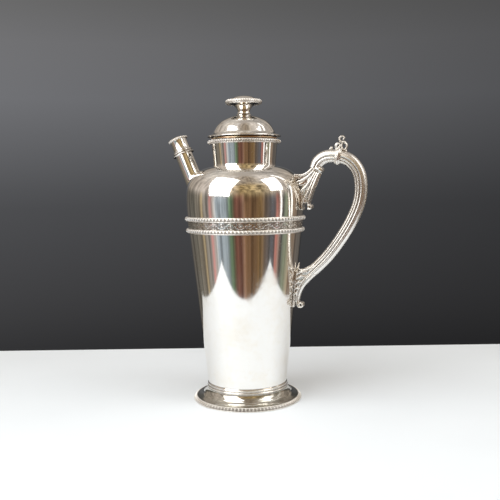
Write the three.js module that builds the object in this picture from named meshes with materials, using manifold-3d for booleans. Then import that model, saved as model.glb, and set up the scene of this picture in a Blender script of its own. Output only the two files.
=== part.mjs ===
// A silver-plated serving jug for mixed drinks: a tapered body on a wide foot, a domed
// shoulder with a short neck, a lift-out domed lid, an upright spout with a pull-off cap,
// and a cast, reeded loop handle opposite the spout.
//
// Millimetres, +Z up. The handle lies towards +X and the spout towards -X.
// The origin is the middle of the object's footprint box, on the surface that it stands on.
import * as THREE from 'three';
import { mergeVertices } from 'three/addons/utils/BufferGeometryUtils.js';
import Module from 'manifold-3d';

const wasm = await Module();
wasm.setup();

// ---- driving dimensions ---------------------------------------------------------------

const WALL = 1.2;                 // plate thickness of the raised and spun shells
const GAP = 0.3;                  // clearance between pieces that touch or are soldered
const ROUND = 40;                 // facets round the large turned pieces
const ROUND_SMALL = 20;           // facets round the spout, cap and knob

const FOOT_RADIUS = 55.5;
const FOOT_BORDER_WIDTH = 3.6;
const FOOT_BORDER_HEIGHT = 4.0;

const BODY_FOOT_Z = 18.4;         // lowest edge of the tapered body
const BODY_FOOT_RADIUS = 40.1;
const BODY_TOP_Z = 178.0;         // where the taper ends, half-way up the ornamental band
const BODY_TOP_RADIUS = 57.7;

const LOWER_WIRE_Z = 172.0;
const UPPER_WIRE_Z = 184.0;
const BAND_WIRE_HEIGHT = 4.3;
const BAND_WIRE_PROUD = 2.5;      // how far a band wire stands out from the wall

const SHOULDER_FOOT_RADIUS = 58.1; // at the ornamental band
const SHOULDER_RADIUS = 59.2;
const NECK_FOOT_Z = 235.6;
const NECK_FOOT_RADIUS = 31.5;
const NECK_TOP_Z = 261.4;
const NECK_TOP_RADIUS = 33.4;
const NECK_WIRE_RADIUS = 36.7;
const NECK_WIRE_Z = 259.6;

const LID_FLANGE_RADIUS = 36.8;
const LID_FLANGE_Z = 264.0;       // underside of the flange's thin edge
const LID_DOME_TOP_Z = 286.2;
const BEZEL_DEPTH = 17.0;

const KNOB_FOOT_Z = 286.4;
const KNOB_RIM_RADIUS = 18.3;
const KNOB_RIM_Z = 298.8;
const KNOB_TOP_Z = 305.0;

const SPOUT_TILT = THREE.MathUtils.degToRad(22.2);
const SPOUT_FOOT = { radius: 52.6, z: 217.0 };   // where the spout's axis leaves the shoulder
const SPOUT_TUBE_LENGTH = 34.0;                  // from there to the collar
const SPOUT_TUBE_RADIUS = 8.8;
const SPOUT_COLLAR_RADIUS = 11.2;
const NOZZLE_RADIUS = 6.0;
const CAP_FOOT = 36.4;                           // distances along the spout's axis
const CAP_RIM = 51.0;
const CAP_CROWN = 54.2;
const CAP_SKIRT_RADIUS = 8.5;
const CAP_RIM_RADIUS = 10.3;

const HANDLE_REACH = 122.9;       // from the vessel's axis to the handle's outermost point
const HANDLE_DEPTH = 12.2;        // bar size in the plane of the loop
const HANDLE_WIDTH = 11.0;        // bar size across that plane
const MOUNT_WIDTH = 13.0;         // width of the two leaf-shaped handle mounts

// The vessel's axis is off centre, because the handle reaches further out than the spout.
const SPOUT_REACH = SPOUT_FOOT.radius + CAP_RIM * Math.sin(SPOUT_TILT)
  + CAP_RIM_RADIUS * Math.cos(SPOUT_TILT);
const VESSEL_X = (SPOUT_REACH - HANDLE_REACH) / 2;

// ---- materials ------------------------------------------------------------------------

const silver = (color = 0xd8d4cc, roughness = 0.16) => new THREE.MeshStandardMaterial({
  color, roughness, metalness: 1,
});
const chasedSilver = () => silver(0xb9b2a4, 0.34);
const innerPlate = () => silver(0xa8946c, 0.38);
const cork = () => new THREE.MeshStandardMaterial({ color: 0x9c7248, roughness: 0.9 });

// ---- making solids --------------------------------------------------------------------

function counterClockwise(points) {
  let area = 0;
  points.forEach((p, i) => {
    const q = points[(i + 1) % points.length];
    area += p.x * q.y - q.x * p.y;
  });
  return area < 0 ? points.slice().reverse() : points;
}

// A solid of revolution about Z. The profile is a list of [radius, height]; it closes on
// itself, or starts and ends on the axis.
function turned(profile, facets = ROUND) {
  const points = counterClockwise(profile.map(([r, z]) => new THREE.Vector2(r, z)));
  const axisIndex = points.findIndex((p, i) => p.x === 0
    && points[(i + points.length - 1) % points.length].x === 0);
  const ordered = axisIndex < 0
    ? [...points, points[0].clone()]
    : [...points.slice(axisIndex), ...points.slice(0, axisIndex)];
  return new THREE.LatheGeometry(ordered, facets).rotateX(Math.PI / 2);
}

// The profile of a wall: an outer line, and the same line moved inwards.
function wallProfile(outer, thickness = WALL) {
  const inner = outer.map(([r, z], i) => {
    const before = outer[Math.max(i - 1, 0)];
    const after = outer[Math.min(i + 1, outer.length - 1)];
    const run = new THREE.Vector2(after[0] - before[0], after[1] - before[1]).normalize();
    return [r - run.y * thickness, z + run.x * thickness];
  });
  return [...outer, ...inner.reverse()];
}

// The profile of a ring of round wire, flat on the side towards the axis.
function wireProfile(innerRadius, outerRadius, middleZ, height, steps = 4) {
  const profile = [[innerRadius, middleZ - height / 2]];
  for (let i = 0; i <= steps; i += 1) {
    const angle = -Math.PI / 2 + (Math.PI * i) / steps;
    const middle = (innerRadius + outerRadius) / 2;
    profile.push([
      middle + (outerRadius - middle) * Math.cos(angle),
      middleZ + (height / 2) * Math.sin(angle),
    ]);
  }
  profile.push([innerRadius, middleZ + height / 2]);
  return profile;
}

// A flat outline in the plane of handle and spout, given as [x, z], and as thick as width.
function slab(outline, width, bevel = 0) {
  const shape = new THREE.Shape(outline.map(([x, z]) => new THREE.Vector2(x, z)));
  const depth = width - 2 * bevel;
  return new THREE.ExtrudeGeometry(shape, {
    depth,
    steps: 1,
    bevelEnabled: bevel > 0,
    bevelThickness: bevel,
    bevelSize: bevel,
    bevelOffset: -bevel,
    bevelSegments: 1,
  }).translate(0, 0, -depth / 2).rotateX(Math.PI / 2);
}

function toSolid(geometry) {
  const bare = geometry.clone();
  bare.deleteAttribute('normal');
  bare.deleteAttribute('uv');
  const merged = mergeVertices(bare, 1e-4);
  // The tip triangles of a turned piece have no area, and are left out.
  const index = merged.index.array;
  const triangles = [];
  for (let i = 0; i < index.length; i += 3) {
    const [a, b, c] = [index[i], index[i + 1], index[i + 2]];
    if (a !== b && b !== c && c !== a) triangles.push(a, b, c);
  }
  return new wasm.Manifold(new wasm.Mesh({
    numProp: 3,
    vertProperties: Float32Array.from(merged.attributes.position.array),
    triVerts: Uint32Array.from(triangles),
  }));
}

function toGeometry(solid) {
  const mesh = solid.getMesh();
  const geometry = new THREE.BufferGeometry();
  geometry.setAttribute('position', new THREE.BufferAttribute(mesh.vertProperties, 3));
  geometry.setIndex(new THREE.BufferAttribute(mesh.triVerts, 1));
  return geometry;
}

function joined(...geometries) {
  const [first, ...rest] = geometries.map(toSolid);
  return toGeometry(rest.reduce((whole, next) => whole.add(next), first));
}

function cut(geometry, ...cutters) {
  const whole = toSolid(geometry);
  return toGeometry(cutters.map(toSolid).reduce((rest, next) => rest.subtract(next), whole));
}

// ---- the tree of pieces ---------------------------------------------------------------

const jug = new THREE.Group();
const vessel = new THREE.Group();
vessel.position.x = VESSEL_X;
jug.add(vessel);

// Along the spout: local +Z runs up the spout's axis from where it leaves the shoulder.
const spout = new THREE.Group();
spout.position.set(-SPOUT_FOOT.radius, 0, SPOUT_FOOT.z);
spout.rotation.y = -SPOUT_TILT;
vessel.add(spout);

function piece(parent, name, geometry, material) {
  const mesh = new THREE.Mesh(geometry, material);
  mesh.name = name;
  parent.add(mesh);
  return mesh;
}

// ---- body -----------------------------------------------------------------------------

const taper = (BODY_TOP_RADIUS - BODY_FOOT_RADIUS) / (BODY_TOP_Z - BODY_FOOT_Z);
const bodyRadius = (z) => BODY_FOOT_RADIUS + taper * (z - BODY_FOOT_Z);
const bandFootZ = LOWER_WIRE_Z + 1.9;     // the seams are hidden under the two wires
const bandTopZ = UPPER_WIRE_Z - 1.9;

piece(vessel, 'tapered_body', turned(wallProfile([
  [bodyRadius(BODY_FOOT_Z), BODY_FOOT_Z],
  [bodyRadius(bandFootZ), bandFootZ],
])), silver());

piece(vessel, 'frieze_band', turned(wallProfile([
  [bodyRadius(bandFootZ), bandFootZ + GAP],
  [bodyRadius(bandTopZ) - 0.1, bandTopZ - GAP],
])), chasedSilver());

// A shallow dome closes the body's lower end from inside.
piece(vessel, 'base_disc', turned([
  [0, 23.0],
  [22, 22.2],
  [bodyRadius(21) - WALL - GAP, 20.4],
  [bodyRadius(21) - WALL - GAP, 21.6],
  [22, 23.4],
  [0, 24.2],
]), innerPlate());

// The shoulder rises almost straight from the band and then rolls over to the neck.
const shoulderCurve = new THREE.SplineCurve([
  [SHOULDER_RADIUS, 203.0],
  [58.4, 212.8],
  [56.3, 219.6],
  [52.6, 225.6],
  [47.5, 230.0],
  [41.5, 233.2],
  [36.0, 234.9],
  [NECK_FOOT_RADIUS + 0.6, NECK_FOOT_Z],
].map(([r, z]) => new THREE.Vector2(r, z)));
const shoulderLine = [
  [SHOULDER_FOOT_RADIUS, bandTopZ],
  [SHOULDER_RADIUS - 0.2, 192.0],
  ...shoulderCurve.getPoints(9).map((p) => [p.x, p.y]),
];

// The strainer: holes through the shoulder where the spout leaves it.
function strainerHoles() {
  const holes = [[0, 0]];
  for (let i = 0; i < 6; i += 1) {
    const angle = (Math.PI * i) / 3;
    holes.push([4.8 * Math.cos(angle), 4.8 * Math.sin(angle)]);
  }
  return holes.map(([x, y]) => new THREE.CylinderGeometry(1.7, 1.7, 30, 8)
    .rotateX(Math.PI / 2)
    .translate(x, y, 0)
    .rotateY(-SPOUT_TILT)
    .translate(-SPOUT_FOOT.radius, 0, SPOUT_FOOT.z));
}
piece(
  vessel,
  'shoulder_shell',
  cut(turned(wallProfile(shoulderLine)), ...strainerHoles()),
  silver(),
);

const neckLine = [
  [NECK_FOOT_RADIUS + 0.6, NECK_FOOT_Z + GAP],
  [NECK_FOOT_RADIUS, NECK_FOOT_Z + 2.4],
  [NECK_TOP_RADIUS - 0.3, NECK_TOP_Z - 5.5],
  [NECK_TOP_RADIUS, NECK_TOP_Z],
];
piece(vessel, 'neck_tube', turned(wallProfile(neckLine, 1.1)), silver());
piece(vessel, 'neck_rim_wire', turned(
  wireProfile(NECK_TOP_RADIUS + GAP, NECK_WIRE_RADIUS, NECK_WIRE_Z, 4.0),
), chasedSilver());

function bandWire(name, z, wallRadius) {
  piece(vessel, name, turned(wireProfile(
    wallRadius + 2 * GAP,
    wallRadius + BAND_WIRE_PROUD,
    z,
    BAND_WIRE_HEIGHT,
  )), chasedSilver());
}
bandWire('lower_band_wire', LOWER_WIRE_Z, bodyRadius(LOWER_WIRE_Z));
bandWire('upper_band_wire', UPPER_WIRE_Z, SHOULDER_FOOT_RADIUS + 0.1);

// ---- foot -----------------------------------------------------------------------------

const footPlateEdge = FOOT_RADIUS - FOOT_BORDER_WIDTH - GAP;
piece(vessel, 'foot_border_wire', turned([
  [FOOT_RADIUS - FOOT_BORDER_WIDTH, 0],
  [FOOT_RADIUS - 0.7, 0],
  [FOOT_RADIUS, 0.9],
  [FOOT_RADIUS - 0.5, 2.6],
  [FOOT_RADIUS - 1.7, 3.8],
  [FOOT_RADIUS - 2.8, FOOT_BORDER_HEIGHT],
  [FOOT_RADIUS - FOOT_BORDER_WIDTH, 3.7],
]), chasedSilver());
piece(vessel, 'foot_plate', turned(wallProfile([
  [footPlateEdge, 3.6],
  [48.0, 4.6],
  [45.6, 5.8],
  [43.6, 7.6],
  [42.0, 9.6],
  [41.0, 12.3],
], 1.1)), silver());
piece(vessel, 'foot_lower_ring', turned(
  wireProfile(37.0, 41.3, 13.75, 2.3),
), silver());
piece(vessel, 'foot_upper_ring', turned(
  wireProfile(37.0, 41.0, 16.35, 2.3),
), silver());
piece(vessel, 'foot_groove_ring', turned([
  [36.6, 17.8], [38.6, 17.8], [38.6, 20.0], [36.6, 20.0],
]), silver());

// ---- spout and cap --------------------------------------------------------------------

// Everything inside the shoulder, grown by the gap: the spout's tube is cut to fit on it.
const grownShoulder = wallProfile(shoulderLine, -GAP).slice(shoulderLine.length).reverse();
const shoulderEnvelope = turned([[0, grownShoulder[0][1]], ...grownShoulder, [0, NECK_FOOT_Z]])
  .translate(SPOUT_FOOT.radius, 0, -SPOUT_FOOT.z)
  .rotateY(SPOUT_TILT);
const spoutTube = turned([
  [SPOUT_TUBE_RADIUS + 0.3, -18],
  [SPOUT_TUBE_RADIUS, SPOUT_TUBE_LENGTH],
  [SPOUT_TUBE_RADIUS - 1.0, SPOUT_TUBE_LENGTH],
  [SPOUT_TUBE_RADIUS - 0.7, -18],
], ROUND_SMALL);
piece(spout, 'spout_tube', cut(spoutTube, shoulderEnvelope), silver());

// The nozzle carries the collar's seat outside and the pouring lip inside the cap.
const nozzleSkirt = SPOUT_TUBE_RADIUS - 1.0 - GAP;
piece(spout, 'spout_nozzle', turned([
  [nozzleSkirt, SPOUT_TUBE_LENGTH - 3.5],
  [nozzleSkirt, SPOUT_TUBE_LENGTH + 0.4],
  [NOZZLE_RADIUS, SPOUT_TUBE_LENGTH + 1.6],
  [NOZZLE_RADIUS, 48.0],
  [NOZZLE_RADIUS - 0.9, 48.0],
  [NOZZLE_RADIUS - 0.9, SPOUT_TUBE_LENGTH + 1.0],
  [nozzleSkirt - 0.9, SPOUT_TUBE_LENGTH - 0.4],
  [nozzleSkirt - 0.9, SPOUT_TUBE_LENGTH - 3.5],
], ROUND_SMALL), silver());
piece(spout, 'spout_collar', turned([
  [nozzleSkirt + GAP, SPOUT_TUBE_LENGTH + GAP],
  [SPOUT_COLLAR_RADIUS - 0.8, SPOUT_TUBE_LENGTH + 0.2],
  [SPOUT_COLLAR_RADIUS, SPOUT_TUBE_LENGTH + 0.9],
  [SPOUT_COLLAR_RADIUS - 0.8, SPOUT_TUBE_LENGTH + 1.7],
  [nozzleSkirt + GAP, SPOUT_TUBE_LENGTH + 2.0],
], ROUND_SMALL), silver());

piece(spout, 'cap_lower_ring', turned(
  wireProfile(CAP_SKIRT_RADIUS + GAP, 9.9, CAP_FOOT + 1.3, 2.5),
  ROUND_SMALL,
), silver());
piece(spout, 'cap_skirt', turned([
  [CAP_SKIRT_RADIUS, CAP_FOOT],
  [CAP_SKIRT_RADIUS - 0.2, CAP_RIM - 1.4],
  [CAP_SKIRT_RADIUS - 1.1, CAP_RIM - 1.4],
  [CAP_SKIRT_RADIUS - 1.0, CAP_FOOT],
], ROUND_SMALL), silver());
piece(spout, 'cap_top', turned([
  [0, CAP_RIM - 1.1],
  [CAP_RIM_RADIUS - 2.0, CAP_RIM - 1.1],
  [CAP_RIM_RADIUS - 2.0, CAP_RIM + 1.0],
  [5.0, CAP_CROWN - 0.7],
  [0, CAP_CROWN],
], ROUND_SMALL), silver());
piece(spout, 'cap_rim_wire', turned(
  wireProfile(CAP_RIM_RADIUS - 2.0 + GAP, CAP_RIM_RADIUS, CAP_RIM - 0.1, 2.4),
  ROUND_SMALL,
), chasedSilver());
piece(spout, 'cap_cork_sleeve', turned([
  [CAP_SKIRT_RADIUS - 1.1 - GAP, CAP_FOOT + 1.0],
  [CAP_SKIRT_RADIUS - 1.1 - GAP, CAP_RIM - 2.0],
  [NOZZLE_RADIUS + GAP, CAP_RIM - 2.0],
  [NOZZLE_RADIUS + GAP, CAP_FOOT + 1.0],
], ROUND_SMALL), cork());

// ---- lid ------------------------------------------------------------------------------

// The dome rises steeply from its flange and rounds over to the knob.
const domeCurve = new THREE.SplineCurve([
  [31.0, 268.0],
  [29.6, 271.9],
  [25.7, 277.6],
  [21.9, 280.6],
  [15.3, 283.7],
  [8.0, 285.6],
  [3.0, LID_DOME_TOP_Z],
].map(([r, z]) => new THREE.Vector2(r, z)));
const domeLine = domeCurve.getPoints(8).map((p) => [p.x, p.y]);
const lidLine = [
  [LID_FLANGE_RADIUS, LID_FLANGE_Z + 0.9],
  [34.6, LID_FLANGE_Z + 1.9],
  [32.2, LID_FLANGE_Z + 2.9],
  ...domeLine,
];
piece(vessel, 'lid_dome', turned(wallProfile(lidLine, 1.0)), silver());

const bezelTop = LID_FLANGE_Z + 0.3;
piece(vessel, 'lid_bezel', turned([
  [31.4, bezelTop],
  [31.2, NECK_TOP_Z - 2],
  [29.5, NECK_TOP_Z - BEZEL_DEPTH],
  [28.5, NECK_TOP_Z - BEZEL_DEPTH],
  [30.0, bezelTop],
]), innerPlate());

piece(vessel, 'knob_stem', turned([
  [2.3, KNOB_FOOT_Z],
  [7.2, KNOB_FOOT_Z],
  [6.2, KNOB_FOOT_Z + 1.4],
  [5.5, KNOB_FOOT_Z + 2.8],
  [5.7, KNOB_FOOT_Z + 5.0],
  [7.3, KNOB_FOOT_Z + 7.6],
  [9.4, KNOB_FOOT_Z + 9.2],
  [2.3, KNOB_FOOT_Z + 9.2],
], ROUND_SMALL), silver());
piece(vessel, 'knob_underplate', turned([
  [2.3, KNOB_FOOT_Z + 9.5],
  [9.6, KNOB_FOOT_Z + 9.5],
  [KNOB_RIM_RADIUS - 2.2, KNOB_RIM_Z - 1.6],
  [KNOB_RIM_RADIUS - 2.2, KNOB_RIM_Z - 0.2],
  [9.0, KNOB_FOOT_Z + 10.7],
  [2.3, KNOB_FOOT_Z + 10.7],
], ROUND_SMALL), silver());
piece(vessel, 'knob_crown', turned([
  [0, KNOB_TOP_Z - 1.2],
  [8.5, KNOB_TOP_Z - 2.2],
  [KNOB_RIM_RADIUS - 2.2, KNOB_RIM_Z + 0.3],
  [KNOB_RIM_RADIUS - 2.2, KNOB_RIM_Z + 1.9],
  [12.6, KNOB_TOP_Z - 2.6],
  [7.0, KNOB_TOP_Z - 0.6],
  [0, KNOB_TOP_Z],
], ROUND_SMALL), silver());
piece(vessel, 'knob_rim_wire', turned(
  wireProfile(KNOB_RIM_RADIUS - 2.2 + GAP, KNOB_RIM_RADIUS, KNOB_RIM_Z + 0.2, 4.4),
  ROUND_SMALL,
), chasedSilver());

// A stud runs down through the stem and the dome, and a nut and washer hold the knob on.
const domeTop = LID_DOME_TOP_Z;
piece(vessel, 'knob_stud', turned([
  [0, domeTop - 8.0],
  [2.0, domeTop - 8.0],
  [2.0, KNOB_FOOT_Z + 12.0],
  [0, KNOB_FOOT_Z + 12.0],
], 16), innerPlate());
piece(vessel, 'knob_washer', turned([
  [2.3, domeTop - 3.2], [6.0, domeTop - 3.2], [6.0, domeTop - 2.2], [2.3, domeTop - 2.2],
], 20), innerPlate());
piece(vessel, 'knob_nut', turned([
  [2.3, domeTop - 6.4], [4.2, domeTop - 6.4], [4.2, domeTop - 3.5], [2.3, domeTop - 3.5],
], 6), innerPlate());

// ---- handle ---------------------------------------------------------------------------

// Centre line of the bar, from the upper mount over the top and down to the lower mount.
const handleLine = new THREE.CatmullRomCurve3([
  [72.6, 233.6],
  [76.2, 238.9],
  [81.4, 242.3],
  [88.0, 243.5],
  [97.0, 242.6],
  [105.2, 239.4],
  [111.6, 232.9],
  [115.6, 224.2],
  [HANDLE_REACH - HANDLE_DEPTH / 2, 211.5],
  [114.6, 197.6],
  [108.4, 182.6],
  [100.6, 169.0],
  [92.2, 156.8],
  [83.8, 146.2],
  [75.6, 137.8],
  [69.4, 132.0],
].map(([x, z]) => new THREE.Vector3(x, 0, z)), false, 'centripetal');

// A rounded bar section; the first number of a point runs across the plane of the loop.
function barSection(grow = 0) {
  const shape = new THREE.Shape();
  const [halfWidth, halfDepth] = [HANDLE_WIDTH / 2 + grow, HANDLE_DEPTH / 2 + grow];
  const corners = 10;
  for (let i = 0; i < corners; i += 1) {
    const angle = (2 * Math.PI * (i + 0.5)) / corners;
    const squash = (v) => Math.sign(v) * Math.abs(v) ** 0.75;
    const point = [halfWidth * squash(Math.cos(angle)), halfDepth * squash(Math.sin(angle))];
    if (i === 0) shape.moveTo(...point);
    else shape.lineTo(...point);
  }
  shape.closePath();
  return shape;
}
piece(vessel, 'handle_bar', new THREE.ExtrudeGeometry(barSection(), {
  steps: 30, extrudePath: handleLine, bevelEnabled: false,
}), silver());

// The knopped collar round the bar, at the top of the loop: a ring that stands square to
// the bar, and a little narrower across the loop's plane than in it.
const COLLAR_RADIUS = 9.0;
const COLLAR_LENGTH = 4.6;
const COLLAR_ALONG = 0.125;       // its place, as a share of the bar's length
const collarAt = handleLine.getPointAt(COLLAR_ALONG);
const collarRun = handleLine.getTangentAt(COLLAR_ALONG);
const barLength = handleLine.getLength();
const collarBlank = turned([
  [0, -COLLAR_LENGTH / 2],
  [COLLAR_RADIUS - 0.8, -COLLAR_LENGTH / 2],
  [COLLAR_RADIUS, -1.0],
  [COLLAR_RADIUS, 1.0],
  [COLLAR_RADIUS - 0.8, COLLAR_LENGTH / 2],
  [0, COLLAR_LENGTH / 2],
], 16)
  .scale(1, 0.86, 1)
  .rotateY(Math.atan2(collarRun.x, collarRun.z))
  .translate(collarAt.x, 0, collarAt.z);
const collarBore = new THREE.ExtrudeGeometry(barSection(GAP + 0.1), {
  steps: 8,
  extrudePath: new THREE.CatmullRomCurve3([-1, -0.5, 0, 0.5, 1].map(
    (step) => handleLine.getPointAt(COLLAR_ALONG + (step * COLLAR_LENGTH) / barLength),
  )),
  bevelEnabled: false,
});
piece(vessel, 'handle_collar', cut(collarBlank, collarBore), silver());

// The thumb piece: two curls side by side on the bar with a third one standing on them.
function curl(x, z, radius, width) {
  return new THREE.CylinderGeometry(radius, radius, width, 14).translate(x, 0, z);
}
const thumbFoot = slab([
  [97.6, 247.0], [104.6, 244.0], [104.9, 252.5], [99.6, 258.6], [96.6, 255.4],
], 5.0);
const thumbBlank = joined(
  thumbFoot,
  curl(94.6, 253.6, 3.4, 6.2),
  curl(101.4, 253.0, 3.7, 6.0),
  curl(98.4, 258.9, 3.1, 5.4),
);
const grownBar = new THREE.ExtrudeGeometry(barSection(GAP), {
  steps: 30, extrudePath: handleLine, bevelEnabled: false,
});
const roomForCollar = curl(collarAt.x, collarAt.z, COLLAR_RADIUS + 0.35, 30);
piece(vessel, 'thumb_scroll', cut(thumbBlank, roomForCollar, grownBar), silver());

// The two corners of a mount's face that meets the bar's end, upper or outer corner first.
function barEndFace(at) {
  const end = handleLine.getPointAt(at);
  const run = handleLine.getTangentAt(at);
  const away = at === 0 ? -GAP : GAP;
  return [1, -1].map((side) => [
    end.x + run.x * away + (side * -run.z * HANDLE_DEPTH) / 2,
    end.z + run.z * away + (side * run.x * HANDLE_DEPTH) / 2,
  ]);
}
const [upperFaceOuter, upperFaceInner] = barEndFace(0);
const [lowerFaceOuter, lowerFaceInner] = barEndFace(1);

// The upper mount: an acanthus leaf that runs down the shoulder and ends in a scroll.
piece(vessel, 'handle_upper_leaf', slab([
  [60.0, 203.0],
  [59.3, 213.2],
  [57.4, 220.1],
  [53.7, 226.1],
  [50.4, 229.0],
  [56.4, 229.4],
  [62.6, 228.2],
  [65.4, 232.0],
  upperFaceOuter,
  upperFaceInner,
  [74.0, 220.3],
  [70.0, 213.6],
  [66.6, 206.5],
  [66.0, 199.4],
  [69.0, 197.4],
  [68.8, 193.2],
  [65.4, 191.4],
  [60.0, 191.6],
], MOUNT_WIDTH, 1.4), chasedSilver());

// The lower mount: a leaf against the body that carries on down into a small scroll.
const bodyFace = (z) => bodyRadius(z) + GAP;
piece(vessel, 'handle_lower_leaf', slab([
  [bodyFace(95.2), 95.2],
  [bodyFace(136), 136],
  [55.6, 139.4],
  [57.4, 134.6],
  [62.4, 134.9],
  lowerFaceInner,
  lowerFaceOuter,
  [62.3, 118.6],
  [58.3, 112.4],
  [56.2, 105.0],
  [56.6, 101.6],
  [58.8, 99.4],
  [57.6, 96.0],
  [54.6, 94.8],
], MOUNT_WIDTH - 2, 1.2), chasedSilver());

export default jug;
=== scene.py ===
"""The looks of a silver-plated cocktail jug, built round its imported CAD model.

Shapes are worked out in millimetres about the vessel's own axis, in the frame of the CAD
model: the handle towards +X, the spout towards -X, +Z up. Every piece's mesh is in metres.
"""

import math

import bmesh
import bpy
import numpy as np
from mathutils import Euler, Matrix, Vector, noise


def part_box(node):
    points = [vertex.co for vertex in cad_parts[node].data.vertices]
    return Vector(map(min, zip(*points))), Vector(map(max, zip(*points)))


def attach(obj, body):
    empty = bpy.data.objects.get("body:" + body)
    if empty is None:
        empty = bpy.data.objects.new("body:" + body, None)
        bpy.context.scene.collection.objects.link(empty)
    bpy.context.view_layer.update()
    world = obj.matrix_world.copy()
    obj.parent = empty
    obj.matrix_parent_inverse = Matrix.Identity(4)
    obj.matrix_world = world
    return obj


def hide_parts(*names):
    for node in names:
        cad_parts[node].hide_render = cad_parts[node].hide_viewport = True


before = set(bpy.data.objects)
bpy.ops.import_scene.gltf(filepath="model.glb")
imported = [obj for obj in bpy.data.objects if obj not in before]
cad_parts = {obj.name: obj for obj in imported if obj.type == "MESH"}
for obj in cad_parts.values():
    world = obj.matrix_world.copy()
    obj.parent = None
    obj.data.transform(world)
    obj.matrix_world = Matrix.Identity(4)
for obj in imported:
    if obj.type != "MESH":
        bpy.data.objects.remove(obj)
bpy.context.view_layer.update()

MM = 0.001


def node_box(node):
    """A CAD node's lowest and highest corners, in millimetres."""
    low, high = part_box(node)
    return Vector(low) / MM, Vector(high) / MM


BODY_LOW, BODY_HIGH = node_box("tapered_body")
AXIS_X = (BODY_LOW.x + BODY_HIGH.x) / 2

# ---- driving dimensions, in millimetres about the vessel's axis ----

WALL = 1.2
BODY_FOOT_Z = 18.4
BODY_FOOT_RADIUS = 40.1
BODY_TOP_Z = 178.0
BODY_TOP_RADIUS = 57.7
LOWER_WIRE_Z = 172.4
UPPER_WIRE_Z = 184.0
BAND_WIRE_HEIGHT = 4.3
NECK_FOOT_Z = 235.6
NECK_TOP_RADIUS = 33.4
NECK_TOP_Z = 261.4
SHOULDER_RADIUS = 59.2
BAR_HALF_WIDTH = 5.5
BAR_HALF_DEPTH = 6.1
SPOUT_FOOT = (-52.6, 217.0)
SPOUT_TILT = math.radians(22.2)
SPOUT_RADIUS = 9.1
SPOUT_BORE = 7.9
SPOUT_LENGTH = 34.0
TAPER = (BODY_TOP_RADIUS - BODY_FOOT_RADIUS) / (BODY_TOP_Z - BODY_FOOT_Z)

# How often each ornament repeats round its ring.
NECK_RIM_TONGUES = 96
BAND_WIRE_TONGUES = 100
FRIEZE_BAYS = 40
FOOT_BORDER_EGGS = 95
KNOB_RIM_TONGUES = 56
CAP_RIM_NOTCHES = 34

# The handle is turned towards the camera by this angle.
VIEW_YAW = math.radians(18.0)


def body_radius(z):
    return BODY_FOOT_RADIUS + TAPER * (z - BODY_FOOT_Z)


# ---- curves --------------------------------------------------------

def spline(points, per=6):
    """Points on a Catmull-Rom curve through the given points, both ends included."""
    pts = [Vector(p) for p in points]
    ends = [2 * pts[0] - pts[1]] + pts + [2 * pts[-1] - pts[-2]]
    out = []
    for a, b, c, d in zip(ends, ends[1:], ends[2:], ends[3:]):
        for i in range(per):
            t = i / per
            out.append(0.5 * ((2 * b) + (c - a) * t + (2 * a - 5 * b + 4 * c - d) * t ** 2
                              + (3 * b - a - 3 * c + d) * t ** 3))
    out.append(pts[-1])
    return [tuple(p) for p in out]


def arc(centre, radius, start, end, steps):
    """Points on a circle's arc, with the angles in degrees. radius may be (across, up)."""
    across, up = radius if isinstance(radius, tuple) else (radius, radius)
    angles = [math.radians(start + (end - start) * i / steps) for i in range(steps + 1)]
    return [(centre[0] + across * math.cos(a), centre[1] + up * math.sin(a)) for a in angles]


def inwards(line, thickness):
    """A profile's outer line followed by the same line moved inwards, back to its start."""
    pts = [Vector(p) for p in line]
    inner = []
    for i, p in enumerate(pts):
        run = (pts[min(i + 1, len(pts) - 1)] - pts[max(i - 1, 0)]).normalized()
        inner.append((p.x - run.y * thickness, p.y + run.x * thickness))
    return list(line) + inner[::-1]


def smoothstep(low, high, x):
    t = min(max((x - low) / (high - low), 0.0), 1.0)
    return t * t * (3 - 2 * t)


# ---- making meshes -------------------------------------------------

def add_object(name, bm, sharp_degrees=38.0):
    """A mesh object in metres from a bmesh in millimetres, smooth except at sharp edges."""
    bmesh.ops.recalc_face_normals(bm, faces=bm.faces)
    for face in bm.faces:
        face.smooth = True
    limit = math.radians(sharp_degrees)
    for edge in bm.edges:
        if len(edge.link_faces) == 2:
            edge.smooth = edge.calc_face_angle(0.0) < limit
    bmesh.ops.scale(bm, vec=(MM, MM, MM), verts=bm.verts)
    mesh = bpy.data.meshes.new(name)
    bm.to_mesh(mesh)
    bm.free()
    obj = bpy.data.objects.new(name, mesh)
    bpy.context.scene.collection.objects.link(obj)
    return obj


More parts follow.
